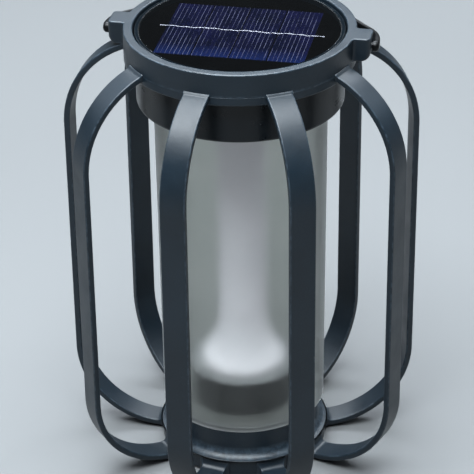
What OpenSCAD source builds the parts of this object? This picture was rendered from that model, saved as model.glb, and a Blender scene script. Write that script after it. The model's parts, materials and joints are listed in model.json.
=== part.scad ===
// Solar lantern: an open cage of bent straps around a lift-out light unit.
// Millimetres, +Z up. The origin is the centre of the foot pad's underside, on the ground.
// The X axis runs through the two handle lugs, and the folded handle lies towards +Y.

/* [Cage] */
// Height of the top ring's upper face above the ground
cage_h = 230; // [225:1:240]
// Number of straps around the cage (an odd number puts one under the -X lug)
rib_count = 9; // [7:2:9]
// Radius of the straps' outer faces
cage_r = 86.7; // [84:0.1:90]
// Width of a strap
rib_w = 12.5; // [11:0.5:13]
// Thickness of a strap
rib_t = 3; // [2.5:0.1:3.5]
// Radius of the upper bend, on the strap's outer face
bend_top_r = 48; // [46:0.5:49]
// Radius of the lower bend, on the strap's outer face
bend_low_r = 44.5; // [43:0.5:45]
// Drop from the top ring's upper face to the centre of the upper bend
bend_drop = 56; // [55:0.5:58]
// Height of the lower strap ends' underside above the ground
rib_clear = 1.5; // [1.2:0.1:2]

/* [Top ring] */
// Outer radius of the top ring
ring_r = 55; // [54.5:0.1:55.5]
// Wall thickness of the top ring
ring_wall = 4.5; // [4:0.1:4.6]
// Height of the top ring
ring_h = 15.6; // [15:0.1:17]
// Distance of the lugs' outer faces from the axis
lug_x = 62.5; // [62:0.1:63]
// Width of a lug
lug_w = 12.7; // [12:0.1:13]
// Height of a lug
lug_h = 11.5; // [11:0.1:12]

/* [Base plate] */
// Outer radius of the base disc
base_r = 42; // [41.5:0.1:43]
// Height of the base disc's upper edge above the ground
base_top = 9.5; // [9:0.1:10]
// Outer radius of the neck that carries the light unit
neck_r = 37.5; // [37:0.1:38.5]
// Height of the neck's upper edge, where the diffuser stands
neck_top = 26; // [25:0.5:28]
// Radius of the foot pad
pad_r = 39; // [37:0.5:39.5]
// Thickness of the foot pad
pad_t = 2; // [1.5:0.1:2.5]

/* [Handle] */
// Gap between the folded handle and the top ring
handle_gap = 0.6; // [0.6:0.1:0.8]
// Thickness of the handle band
band_t = 2; // [1.8:0.1:2.2]
// Height of the handle band
band_h = 5.4; // [5:0.1:5.5]
// Depth of the band's upper edge below the top ring's upper face
band_drop = 5.2; // [5.1:0.1:5.4]
// Radius of the round ears at the pivots
ear_r = 2.9; // [2.8:0.1:3]
// Depth of the pivot axis below the top ring's upper face
pivot_drop = 5.4; // [5.3:0.1:5.6]
// Radius of the pivot pins
pin_r = 1.5; // [1.4:0.1:1.6]

/* [Solar module] */
// Outer radius of the module housing
module_r = 49.7; // [49.4:0.1:49.9]
// Drop from the top ring's upper face to the housing's lower edge
module_drop = 37; // [36:0.5:38]
// Depth of the window's upper face below the top ring's upper face
window_drop = 1.5; // [1.3:0.1:2]
// Thickness of the window
window_t = 2; // [1.8:0.1:2.2]
// Length of the solar cell along X
cell_l = 71; // [60:1:72]
// Width of the solar cell along Y
cell_w = 57; // [50:1:58]
// Number of cell strips in series
cell_strips = 4; // [2:1:6]

/* [Diffuser and light guide] */
// Outer radius of the diffuser at its top
tube_top_r = 41.7; // [41.5:0.1:41.7]
// Outer radius of the diffuser at its foot
tube_low_r = 40.8; // [40.5:0.1:41.5]
// Wall thickness of the diffuser
tube_wall = 2; // [1.8:0.1:2.1]
// Outer radius of the light guide's column
column_r = 11.6; // [11:0.1:12]
// Outer radius of the light guide's flared foot
flare_r = 20.5; // [20:0.1:20.5]
// Height of the flare, from its foot to the straight column
flare_h = 25; // [25:0.1:25.5]
// Radius of the flare's hollow curve
flare_bend_r = 39.5; // [39:0.1:39.5]
// Outer radius of the dark lamp base under the light guide
lamp_r = 27.5; // [26.5:0.5:29]
// Height of the dark lamp base
lamp_base_h = 18; // [16:0.5:19]

/* [Electronics] */
// Diameter of the battery cell
cell_d = 18.4; // [18:0.1:18.6]
// Length of the battery cell
cell_len = 65; // [64:0.5:66]

/* [Hidden] */
$fn = 96;

eps = 0.01;                                    // overshoot of a cutting solid
fit_gap = 0.02;                                // gap of a fixed round fit
run_gap = 0.05;                                // radial gap of a running fit

// Cage
edge_r = 0.7;                                  // rounding of the strap and ring edges
top_arc_z = cage_h - bend_drop;
low_arc_z = rib_clear + bend_low_r;
ring_in = ring_r - ring_wall;
ring_low = cage_h - ring_h;
root_fillet = 4;                               // web between a strap's lower end and the disc
first_rib = 180;                               // angle of the strap under the -X lug

// Base plate
base_low = 1;                                  // underside of the disc
neck_in = neck_r - 2.3;                        // bore of the neck
neck_floor = 5;                                // floor inside the neck
neck_fillet = 4;                               // concave blend from the neck to the disc

// Handle
pivot_z = cage_h - pivot_drop;
band_in = ring_r + handle_gap;
band_out = band_in + band_t;
band_top = cage_h - band_drop;
ear_gap = 0.2;                                 // side play between an ear and its lug
ear_in = lug_x + ear_gap;
ear_out = ear_in + 3.4;
arm_ang = 40;                                  // where an arm leaves the band's circle
arm_bend_r = 28;                               // outer radius of the bend from arm to ear
arm_bend_x = ear_out - 0.2 - arm_bend_r;       // the ears stand a little proud of the arms
arm_bend_y = (band_out - arm_bend_r - arm_bend_x * cos(arm_ang)) / sin(arm_ang);
arm_flush = 0.02;                              // how far an arm's flat sides lie within its arcs
arm_end_h = ear_r - 0.3;                       // half the height of an arm at its ear
arm_rise_y = 28;                               // where an arm starts to rise to its ear
ear_bore_l = 2.6;                              // depth of the blind bore in an ear
pin_root_x = 54.5;                             // inner end of a pivot pin

// Solar module
module_low = cage_h - module_drop;
module_top = cage_h - 1.2;
module_wall = 2.3;
module_in = module_r - module_wall;
window_top = cage_h - window_drop;
window_low = window_top - window_t;
window_r = module_r - 1.9;
ribbon_t = 0.15;
cell_t = 0.3;
cell_top = window_low - 0.25;
cell_low = cell_top - cell_t;
cell_gap = 0.6;                                // gap between two strips
backing_t = 1.5;
backing_low = cell_low - backing_t;
ledge_t = 2;                                   // shelf under the cell backing
ledge_in = window_r - 4;
cover_t = 4.5;
cover_top = module_low + cover_t;
seal_z = cage_h - 8;                           // middle of the rubber seal on the collar
seal_h = 3;
seal_out = ring_in - run_gap;
seal_in = module_r - 1;

// Screws and the ring of positions that they share with the button
boss_pos_r = 44.6;
boss_r = 2.2;
cover_screw_r = 1;
cover_head_r = 1.8;
cover_head_t = 1.5;
cover_screw_len = 12;

// Diffuser
socket_top = module_low + 3.5;                 // depth of the cover's groove for the tube
socket_out = tube_top_r + 0.05;
socket_in = tube_top_r - tube_wall - 0.2;
tube_seal_t = 0.8;
tube_top = socket_top - tube_seal_t;
tube_low = neck_top;
floor_top = tube_low + 2;
spigot_out = neck_in - 0.3;                    // locating ring under the tube's floor
spigot_wall = 2;
spigot_h = 4;

// Lamp
lamp_top = floor_top + lamp_base_h;
lamp_wall = 2;
guide_wall = 1.6;
guide_low = lamp_top;
guide_rim = 3;                                 // upright rim of the flare's foot
led_board_r = 18.4;
led_board_t = 1.2;
led_count = 6;
led_pos_r = 13.5;
led_size = 3.5;
lamp_screw_pos_r = 20;
lamp_screw_r = 1.4;
lamp_head_r = 2.8;
lamp_head_t = 1.6;
lamp_boss_r = 3.6;
lamp_screw_top = floor_top + 9;

// Electronics
battery_y = -16;
battery_z = cover_top + 1.2 + cell_d / 2;
holder_wall = 1.8;
contact_t = 0.4;
bay_l = cell_len + 2 * contact_t + 0.4;        // length of the holder's bay
board_low = cover_top + 5.5;
board_t = 1.6;
board_top = board_low + board_t;
board_x = 20;
board_y0 = 9;
post_pos = [[-15, 14], [15, 14], [-15, 34], [15, 34]];
post_r = 2.6;
board_screw_r = 1;
wire_r = 0.8;
panel_lead_x = [-5, 5];                        // places of the two leads to the panel
panel_lead_y = 22;
button_r = 1.9;
button_out = 1.6;                              // how far the button stands out of the cover
button_flange_r = 2.1;
stem_r = 0.8;
switch_size = 4.4;
switch_h = 2.8;
switch_low = board_low - switch_h;

// ---------- shared shapes ----------

// Rectangle with round corners, centred on the origin
module round_rect(w, h, r) {
    square([w - 2 * r, h], center = true);
    square([w, h - 2 * r], center = true);
    for (x = [-1, 1], y = [-1, 1])
        translate([x * (w / 2 - r), y * (h / 2 - r)]) circle(r);
}

// Half-plane outline of a ring, from radius r0 to r1 and from height z0 to z1, edges rounded
module ring_profile(r0, r1, z0, z1, r) {
    translate([(r0 + r1) / 2, (z0 + z1) / 2]) round_rect(r1 - r0, z1 - z0, r);
}

// Straight tube along Z from z0 to z1
module pipe(r_out, r_in, z0, z1) {
    translate([0, 0, z0]) difference() {
        cylinder(r = r_out, h = z1 - z0);
        translate([0, 0, -eps]) cylinder(r = r_in, h = z1 - z0 + 2 * eps);
    }
}

// Solid cylinder along Z from z0 to z1
module rod(r, z0, z1) {
    translate([0, 0, z0]) cylinder(r = r, h = z1 - z0);
}

// Solid cylinder along X from x0 to x1, at height z
module rod_x(r, x0, x1, z) {
    translate([x0, 0, z]) rotate([0, 90, 0]) cylinder(r = r, h = x1 - x0);
}

// Round wire through a list of points
module wire(points, r) {
    for (i = [0 : len(points) - 2]) {
        run = points[i + 1] - points[i];
        translate(points[i])
            rotate([0, acos(run[2] / norm(run)), atan2(run[1], run[0])])
                cylinder(r = r, h = norm(run), $fn = 24);
    }
    for (i = [1 : len(points) - 2])
        translate(points[i]) sphere(r, $fn = 24);
}

// Puts its children at the same place on both sides of the YZ plane
module both_sides() {
    children();
    mirror([1, 0, 0]) children();
}

// Repeats its children around the Z axis
module around(count, start = 0) {
    for (i = [0 : count - 1]) rotate([0, 0, start + i * 360 / count]) children();
}

// ---------- cage ----------

// One lug: plan, side and end outlines crossed, so that all its outer edges are round
module lug() {
    plan_r = 2;
    low_r = 4;
    inner = ring_r - 2;
    mid = (inner + lug_x) / 2;
    len = lug_x - inner;
    intersection() {
        translate([0, 0, cage_h - lug_h]) linear_extrude(lug_h) union() {
            translate([mid, 0]) round_rect(len, lug_w, plan_r);
            translate([inner, -lug_w / 2]) square([len / 2, lug_w]);
        }
        translate([inner, 0, cage_h - lug_h / 2]) rotate([90, 0, 90])
            linear_extrude(len + eps) round_rect(lug_w, lug_h, edge_r);
        translate([0, lug_w, 0]) rotate([90, 0, 0]) linear_extrude(2 * lug_w) difference() {
            translate([inner, cage_h - lug_h]) square([len, lug_h]);
            translate([lug_x - edge_r, cage_h - edge_r]) difference() {
                square(2 * edge_r);
                circle(edge_r);
            }
            translate([lug_x - low_r, cage_h - lug_h + low_r]) mirror([0, 1]) difference() {
                square(2 * low_r);
                circle(low_r);
            }
        }
    }
}

module top_ring() {
    color("#39434c") difference() {
        union() {
            rotate_extrude() ring_profile(ring_in, ring_r, ring_low, cage_h, edge_r);
            both_sides() difference() {
                lug();
                rod(ring_r - 1, ring_low, cage_h + eps);
            }
        }
        both_sides() rod_x(pin_r + fit_gap, pin_root_x - 0.5, lug_x + eps, pivot_z);
    }
}

// One strap in the XZ plane, running past both of its seats
module strap() {
    translate([cage_r - bend_top_r, 0, top_arc_z]) rotate([90, 0, 0]) rotate_extrude(angle = 90)
        translate([bend_top_r - rib_t / 2, 0]) round_rect(rib_t, rib_w, edge_r);
    translate([cage_r - rib_t / 2, 0, low_arc_z]) linear_extrude(top_arc_z - low_arc_z)
        round_rect(rib_t, rib_w, edge_r);
    translate([cage_r - bend_low_r, 0, low_arc_z]) mirror([0, 0, 1]) rotate([90, 0, 0])
        rotate_extrude(angle = 90)
            translate([bend_low_r - rib_t / 2, 0]) round_rect(rib_t, rib_w, edge_r);
}

// Concave web that carries a strap's lower end up the side of the base disc
module root_web() {
    top = rib_clear + rib_t;
    translate([0, rib_w / 2 - edge_r, 0]) rotate([90, 0, 0])
        linear_extrude(rib_w - 2 * edge_r) difference() {
            translate([base_r - 1, top - 1]) square([root_fillet + 1, root_fillet + 1]);
            translate([base_r + root_fillet, top + root_fillet]) circle(root_fillet);
        }
}

// The strap under the -X lug stops at the lug's flat underside
module cage_ribs() {
    color("#343d46") difference() {
        around(rib_count, first_rib) difference() {
            union() {
                strap();
                root_web();
            }
            rod(ring_r, ring_low - 2, cage_h);
            rod(base_r, 0, base_top + 1);
        }
        translate([-lug_x, -lug_w / 2, cage_h - lug_h]) cube([lug_x, lug_w, lug_h]);
    }
}

module base_plate() {
    color("#3a444d") rotate_extrude() difference() {
        union() {
            translate([0, base_low]) square([base_r - edge_r, base_top - base_low]);
            ring_profile(base_r / 2, base_r, base_low, base_top, edge_r / 2);
            translate([0, base_low]) square([neck_r, neck_top - base_low - edge_r]);
            ring_profile(neck_in - 1, neck_r, neck_floor, neck_top, edge_r);
            translate([neck_r - 1, base_top - 1]) square(neck_fillet + 1);
        }
        translate([neck_r + neck_fillet, base_top + neck_fillet]) circle(neck_fillet);
        translate([-eps, neck_floor]) square([neck_in + eps, cage_h]);
        translate([-eps, 0]) square([pad_r + 0.3, pad_t]);
    }
}

module foot_pad() {
    color("#1b1c1e") rotate_extrude() {
        square([pad_r - 0.5, pad_t]);
        translate([0, 0.5]) square([pad_r, pad_t - 0.5]);
        translate([pad_r - 0.5, 0.5]) circle(0.5);
    }
}

// ---------- handle ----------

module handle_pins() {
    color("#202224") both_sides() rod_x(pin_r, pin_root_x, ear_in + ear_bore_l - 0.2, pivot_z);
}

// Area within the handle's inner edge, grown by a step
module handle_reach(step) {
    bend_r = arm_bend_r - band_t + step;
    bend_centre = [arm_bend_x, arm_bend_y];
    outward = [cos(arm_ang), sin(arm_ang)];
    circle(band_in + step);
    both_sides() {
        translate(bend_centre) circle(bend_r);
        polygon([[0, 0], (band_in + step - arm_flush) * outward,
                 bend_centre + (bend_r - arm_flush) * outward, bend_centre]);
    }
}

// Plan of the handle: a band around the ring's back, and two arms that bend towards the ears
module handle_plan() {
    difference() {
        handle_reach(band_t);
        handle_reach(0);
    }
}

// Side view of the handle: the band, whose arms rise towards the pivot
module handle_side() {
    band_low = band_top - band_h;
    band_end = band_out + 1;
    polygon([[0, pivot_z + arm_end_h], [arm_rise_y, band_top], [band_end, band_top],
             [band_end, band_low], [arm_rise_y, band_low], [0, pivot_z - arm_end_h]]);
}

module handle() {
    side_low = band_top - band_h - 1;
    side_high = pivot_z + ear_r + 1;
    color("#17181a") difference() {
        union() {
            intersection() {
                translate([0, 0, side_low]) linear_extrude(side_high - side_low) handle_plan();
                translate([-cage_r, 0, 0]) rotate([90, 0, 90]) linear_extrude(2 * cage_r)
                    handle_side();
            }
            both_sides() rod_x(ear_r, ear_in, ear_out, pivot_z);
        }
        both_sides() rod_x(pin_r + run_gap, ear_in - 1, ear_in + ear_bore_l, pivot_z);
    }
}

// ---------- solar module ----------

module solar_window() {
    color("#20242a", 0.35) rotate_extrude() {
        translate([0, window_low]) square([window_r - 0.6, window_t]);
        translate([0, window_low]) square([window_r, window_t - 0.6]);
        translate([window_r - 0.6, window_top - 0.6]) circle(0.6);
    }
}

module solar_cells() {
    pitch = cell_l / cell_strips;
    color("#14163f") for (i = [0 : cell_strips - 1])
        translate([-cell_l / 2 + i * pitch + cell_gap / 2, -cell_w / 2, cell_low])
            cube([pitch - cell_gap, cell_w, cell_t]);
}

module cell_ribbon() {
    ribbon_w = 1.3;
    ribbon_x0 = -39;
    ribbon_x1 = 40;
    ribbon_y = 1.9;
    color("#c9ccd6") translate([ribbon_x0, ribbon_y - ribbon_w / 2, cell_top])
        cube([ribbon_x1 - ribbon_x0, ribbon_w, ribbon_t]);
}

module cell_backing() {
    lead_hole_r = wire_r + 0.2;
    color("#0d0e10") difference() {
        rod(window_r, backing_low, cell_low);
        for (x = panel_lead_x) translate([x, panel_lead_y, 0])
            rod(lead_hole_r, backing_low - 1, backing_low + 1);
    }
}

module module_housing() {
    foot_r = 2.2;
    color("#141517") union() {
        rotate_extrude() difference() {
            union() {
                translate([module_in, module_low + foot_r])
                    square([module_wall, module_top - module_low - foot_r]);
                translate([module_in, module_low]) square([module_wall - foot_r, foot_r + eps]);
                translate([module_r - foot_r, module_low + foot_r]) circle(foot_r);
                translate([ledge_in, backing_low - ledge_t]) square([module_r - ledge_in - 1, ledge_t]);
            }
            translate([0, module_low]) square([module_in, cover_t + 3]);
            translate([0, backing_low]) square([window_r + fit_gap, cage_h]);
            translate([seal_in - fit_gap, seal_z - seal_h / 2 - fit_gap])
                square([module_wall, seal_h + 2 * fit_gap]);
        }
        around(4, 45) translate([boss_pos_r, 0, 0]) difference() {
            rod(boss_r, cover_top, backing_low - ledge_t);
            rod(cover_screw_r + fit_gap, cover_top - 1, module_low + cover_screw_len + 1);
        }
    }
}

module module_cover() {
    socket_h = 4;
    cable_hole_r = 4;
    color("#1a1b1d") union() {
        difference() {
            rod(module_in - 0.1, module_low, cover_top);
            pipe(socket_out, socket_in, module_low - 1, socket_top);
            rod(cable_hole_r, module_low - 1, cover_top + 1);
            around(4, 45) translate([boss_pos_r, 0, 0]) {
                rod(cover_screw_r + 0.2, module_low, cover_top + 1);
                rod(cover_head_r + 0.2, module_low - 1, module_low + cover_head_t + 0.2);
            }
            translate([0, boss_pos_r, 0]) rod(button_r + run_gap, module_low - 1, cover_top + 1);
        }
        pipe(column_r + 1.9, column_r + 0.1, module_low - socket_h, module_low);
        for (p = post_pos) translate(p) difference() {
            rod(post_r, cover_top, board_low);
            rod(board_screw_r + fit_gap, cover_top + 1, board_low + 1);
        }
    }
}

module cover_screws() {
    head_low = module_low + 0.1;
    color("#8c9094") around(4, 45) translate([boss_pos_r, 0, 0]) difference() {
        union() {
            rod(cover_head_r, head_low, head_low + cover_head_t);
            rod(cover_screw_r, head_low, module_low + cover_screw_len);
        }
        translate([0, 0, head_low - eps]) for (a = [0, 90]) rotate([0, 0, a])
            translate([-1.1, -0.3, 0]) cube([2.2, 0.6, 0.8]);
    }
}

module collar_seal() {
    lip_r = 0.5;
    color("#232426") rotate_extrude()
        ring_profile(seal_in, seal_out, seal_z - seal_h / 2, seal_z + seal_h / 2, lip_r);
}

// ---------- electronics ----------

module battery() {
    cap_r = 3.2;
    cap_t = 0.6;
    body_half = cell_len / 2 - cap_t;
    color("#2f6fa8") translate([0, battery_y, 0]) {
        rod_x(cell_d / 2, -body_half, body_half, battery_z);
        rod_x(cap_r, body_half, body_half + cap_t, battery_z);
    }
}

module battery_holder() {
    half_l = bay_l / 2 + holder_wall;
    half_w = cell_d / 2 + holder_wall;
    wall_top = battery_z - 1;
    color("#26282a") difference() {
        translate([-half_l, battery_y - half_w, cover_top])
            cube([2 * half_l, 2 * half_w, wall_top - cover_top]);
        translate([0, battery_y, 0]) rod_x(cell_d / 2 + 0.1, -bay_l / 2, bay_l / 2, battery_z);
        for (x = [-16, 16]) translate([x, battery_y, 0]) rod(3, cover_top - 1, battery_z);
    }
}

module battery_contacts() {
    tab_w = 9;
    tab_h = 9;
    color("#c3c6c8") both_sides()
        translate([bay_l / 2 - contact_t, battery_y - tab_w / 2, battery_z - 4])
            cube([contact_t - 0.05, tab_w, tab_h]);
}

module battery_leads() {
    tab_x = cell_len / 2 + 1;
    side_x = tab_x + 2.6;
    run_z = battery_z + 2.6;
    near_y = battery_y + 2;
    far_y = 18;
    drop_x = board_x - 2;
    color("#a01f1c") both_sides()
        wire([[tab_x, near_y, run_z], [side_x, near_y, run_z], [side_x, far_y, run_z],
              [drop_x, far_y, run_z], [drop_x, far_y, board_top + 0.05]], wire_r);
}

module charge_board() {
    color("#1f5c3a") difference() {
        intersection() {
            translate([-board_x, board_y0, board_low]) cube([2 * board_x, 60, board_t]);
            rod(module_in - 0.6, board_low - 1, board_top + 1);
        }
        for (p = post_pos) translate(p) rod(board_screw_r + 0.2, board_low - 1, board_top + 1);
    }
}

module board_parts() {
    chip = [8, 6, 1.4];
    coil = [5, 5, 3];
    diode = [4, 4, 1.8];
    socket = [14, 5, 4.5];
    capacitor_r = 2.6;
    capacitor_h = 6;
    color("#1d1e20") {
        translate([-4, 25, board_top]) cube(chip);
        translate([-13, 22, board_top]) cube(coil);
        translate([8, 26, board_top]) cube(diode);
        translate([-7, 12, board_top]) cube(socket);
        both_sides() translate([9, 38, 0])
            rod(capacitor_r, board_top, board_top + capacitor_h);
    }
}

module board_screws() {
    head_r = 1.9;
    head_t = 1.3;
    color("#9a9ea2") for (p = post_pos) translate(p) {
        rod(board_screw_r, cover_top + 1.5, board_top);
        rod(head_r, board_top, board_top + head_t);
    }
}

module panel_leads() {
    color("#b3211d") for (x = panel_lead_x) translate([x, panel_lead_y, 0])
        rod(wire_r, board_top + 0.05, backing_low + 0.9);
}

module switch_body() {
    color("#303235") translate([0, boss_pos_r, 0]) difference() {
        translate([-switch_size / 2, -switch_size / 2, switch_low])
            cube([switch_size, switch_size, switch_h - 0.02]);
        rod(stem_r + run_gap, switch_low - 1, switch_low + 2.2);
    }
}

module power_button() {
    flange_low = cover_top + 0.02;
    flange_t = 0.8;
    color("#b9bcc0") translate([0, boss_pos_r, 0]) {
        rod(button_r, module_low - button_out + 0.4, flange_low);
        rod(button_r - 0.4, module_low - button_out, flange_low);
        rotate_extrude() translate([button_r - 0.4, module_low - button_out + 0.4]) circle(0.4);
        rod(button_flange_r, flange_low, flange_low + flange_t);
        rod(stem_r, flange_low, switch_low + 0.8);
    }
}

// ---------- diffuser and lamp ----------

module diffuser_tube() {
    rim_r = 0.8;
    color("#d5dcd6", 0.45) difference() {
        union() {
            translate([0, 0, tube_low + rim_r]) cylinder(r1 = tube_low_r, r2 = tube_top_r,
                                                         h = module_low - tube_low - rim_r);
            rod(tube_top_r, module_low - eps, tube_top);
            rod(tube_low_r - rim_r, tube_low, tube_low + rim_r + eps);
            rotate_extrude() translate([tube_low_r - rim_r, tube_low + rim_r]) circle(rim_r);
            pipe(spigot_out, spigot_out - spigot_wall, tube_low - spigot_h, tube_low + eps);
        }
        translate([0, 0, floor_top]) cylinder(r1 = tube_low_r - tube_wall,
                                              r2 = tube_top_r - tube_wall,
                                              h = module_low - floor_top);
        rod(tube_top_r - tube_wall, module_low - eps, tube_top + 1);
        around(3, 90) translate([lamp_screw_pos_r, 0, 0])
            rod(lamp_screw_r + 0.1, tube_low - 1, floor_top + 1);
    }
}

module tube_seal() {
    color("#3a3b3d") pipe(socket_out - 0.03, socket_in + 0.03, tube_top, socket_top);
}

// Outline of the light guide's skin at a distance in from its outer face
module guide_outline(inset) {
    r = column_r - inset;
    difference() {
        union() {
            translate([0, guide_low]) square([r, module_low - guide_low - 0.1 - 2 * inset]);
            translate([0, guide_low]) square([flare_r - inset, guide_rim + flare_h]);
        }
        translate([column_r + flare_bend_r, guide_low + guide_rim + flare_h])
            circle(flare_bend_r + inset);
    }
}

module light_guide() {
    color("#eef0f2", 0.8) rotate_extrude() difference() {
        guide_outline(0);
        guide_outline(guide_wall);
        translate([0, guide_low]) square([flare_r - guide_wall, guide_rim - 0.6]);
        square([4, cage_h]);
    }
}

module lamp_base() {
    round_r = 1.5;
    cable_hole_r = 5;
    color("#1e2124") difference() {
        union() {
            rotate_extrude() difference() {
                union() {
                    translate([0, floor_top]) square([lamp_r, lamp_base_h - round_r]);
                    translate([0, floor_top]) square([lamp_r - round_r, lamp_base_h]);
                    translate([lamp_r - round_r, lamp_top - round_r]) circle(round_r);
                }
                translate([-eps, floor_top - eps])
                    square([lamp_r - lamp_wall + eps, lamp_base_h - lamp_wall]);
            }
            around(3, 90) translate([lamp_screw_pos_r, 0, 0])
                rod(lamp_boss_r, floor_top, lamp_top - lamp_wall + eps);
        }
        rod(cable_hole_r, floor_top, lamp_top + 1);
        around(3, 90) translate([lamp_screw_pos_r, 0, 0])
            rod(lamp_screw_r + fit_gap, floor_top - 1, lamp_screw_top + 1);
    }
}

module lamp_base_screws() {
    color("#8c9094") around(3, 90) translate([lamp_screw_pos_r, 0, 0]) difference() {
        union() {
            rod(lamp_head_r, tube_low - lamp_head_t, tube_low);
            rod(lamp_screw_r, tube_low, lamp_screw_top);
        }
        for (a = [0, 90]) rotate([0, 0, a])
            translate([-1.7, -0.4, tube_low - lamp_head_t - eps]) cube([3.4, 0.8, 1]);
    }
}

module led_board() {
    color("#e9ebe8") pipe(led_board_r, 5, lamp_top, lamp_top + led_board_t);
}

module led_chips() {
    chip_low = lamp_top + led_board_t;
    color("#e8c94f") around(led_count, 30) translate([led_pos_r, 0, chip_low + 0.4])
        cube([led_size, led_size, 0.8], center = true);
}

module lamp_cable() {
    exit_z = cover_top + 3;
    cable_r = 1.5;
    color("#2a2b2d") wire([[0, 12, board_low - 0.05], [0, 12, exit_z], [0, 0, exit_z],
                           [0, 0, lamp_top - 6], [8, 0, lamp_top - 6]], cable_r);
}

top_ring();
cage_ribs();
base_plate();
foot_pad();
handle_pins();
handle();
solar_window();
solar_cells();
cell_ribbon();
cell_backing();
module_housing();
module_cover();
cover_screws();
collar_seal();
battery();
battery_holder();
battery_contacts();
battery_leads();
charge_board();
board_parts();
board_screws();
panel_leads();
switch_body();
power_button();
diffuser_tube();
tube_seal();
light_guide();
lamp_base();
lamp_base_screws();
led_board();
led_chips();
lamp_cable();
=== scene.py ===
import json
import math

import bmesh
import bpy
import numpy as np
from mathutils import Matrix, Vector


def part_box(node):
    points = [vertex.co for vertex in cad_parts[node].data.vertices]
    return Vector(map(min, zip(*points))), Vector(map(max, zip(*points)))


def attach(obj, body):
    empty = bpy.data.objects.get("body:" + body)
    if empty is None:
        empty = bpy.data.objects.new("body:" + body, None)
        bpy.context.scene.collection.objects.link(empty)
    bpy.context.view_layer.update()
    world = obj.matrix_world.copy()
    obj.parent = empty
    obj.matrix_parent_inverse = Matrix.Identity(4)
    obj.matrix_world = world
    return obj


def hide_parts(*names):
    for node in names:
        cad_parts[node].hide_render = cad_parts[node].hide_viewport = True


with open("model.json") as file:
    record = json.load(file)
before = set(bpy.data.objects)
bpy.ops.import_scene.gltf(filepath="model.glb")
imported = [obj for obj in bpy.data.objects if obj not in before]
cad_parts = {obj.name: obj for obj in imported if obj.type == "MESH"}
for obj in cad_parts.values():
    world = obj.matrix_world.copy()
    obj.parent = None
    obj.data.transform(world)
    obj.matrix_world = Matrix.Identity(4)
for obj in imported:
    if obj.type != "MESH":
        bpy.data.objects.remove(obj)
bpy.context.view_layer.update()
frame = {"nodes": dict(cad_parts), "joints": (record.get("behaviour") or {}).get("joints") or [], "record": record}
nodes = frame["nodes"]
MM = 0.001


# ---------- dimensions: lo and hi are the corners of a CAD node's box ----------

ring_lo, ring_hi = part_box("top_ring")
rib_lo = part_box("cage_ribs")[0]
base_lo, base_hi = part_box("base_plate")
pad_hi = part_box("foot_pad")[1]
handle_lo, handle_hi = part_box("handle")
pins_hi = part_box("handle_pins")[1]
window_lo, window_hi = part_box("solar_window")
cells_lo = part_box("solar_cells")[0]
ribbon_lo, ribbon_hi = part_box("cell_ribbon")
backing_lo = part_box("cell_backing")[0]
housing_lo, housing_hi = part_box("module_housing")
seal_lo, seal_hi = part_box("collar_seal")
tube_lo, tube_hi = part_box("diffuser_tube")
guide_lo, guide_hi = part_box("light_guide")
lamp_lo, lamp_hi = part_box("lamp_base")

CAGE_H = ring_hi.z
EDGE = 0.7 * MM  # radius of the cage's rounded edges
RING_R = ring_hi.y
RING_IN = RING_R - 4.5 * MM
LUG_X = ring_hi.x
LUG_W = 12.7 * MM
LUG_H = 11.5 * MM
CAGE_R = -rib_lo.x
RIB_COUNT = 9
RIB_W = 12.5 * MM
RIB_T = 3.0 * MM
BEND_TOP = 48 * MM  # outer radius of a strap's upper bend
BEND_LOW = 44.5 * MM
BEND_DROP = 56 * MM  # from the top down to the upper bend's centre
BASE_R = base_hi.y
BASE_TOP = 9.5 * MM
NECK_R = 37.5 * MM
NECK_IN = NECK_R - 2.3 * MM
PIVOT_Z = frame["joints"][0]["pos_m"][2]
FINGER_PITCH = 2.1 * MM
SINK = 0.5 * MM  # how far a joined shell runs into its neighbour
WELD = 0.002 * MM  # points closer than this are one after a merge


# ---------- mesh helpers ----------

def weigh_normals(obj):
    modifier = obj.modifiers.new("weighted", "WEIGHTED_NORMAL")
    modifier.weight = 60
    modifier.keep_sharp = True


def make_piece(name, verts, faces, marks, weighted=True):
    """A smooth-shaded mesh object. marks is 1 on rounded edges and 0 elsewhere."""
    mesh = bpy.data.meshes.new(name)
    mesh.from_pydata([tuple(map(float, v)) for v in verts], [], faces)
    bm = bmesh.new()
    bm.from_mesh(mesh)
    bmesh.ops.recalc_face_normals(bm, faces=bm.faces)
    bm.to_mesh(mesh)
    bm.free()
    mesh.shade_smooth()
    attribute = mesh.attributes.new("edge_mark", "FLOAT", "POINT")
    attribute.data.foreach_set("value", np.asarray(marks, np.float32))
    obj = bpy.data.objects.new(name, mesh)
    bpy.context.scene.collection.objects.link(obj)
    if weighted:
        weigh_normals(obj)
    return obj


class Shape:
    """Vertices, faces and edge marks, gathered from several closed shells."""

    def __init__(self):
        self.verts, self.faces, self.marks = [], [], []

    def add(self, verts, faces, marks, matrix=None):
        base = len(self.verts)
        for v in verts:
            self.verts.append(matrix @ Vector(v) if matrix is not None else Vector(v))
        self.faces += [[i + base for i in f] for f in faces]
        self.marks += list(marks)
        return self

    def piece(self, name, weighted=True):
        return make_piece(name, self.verts, self.faces, self.marks, weighted)


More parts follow.
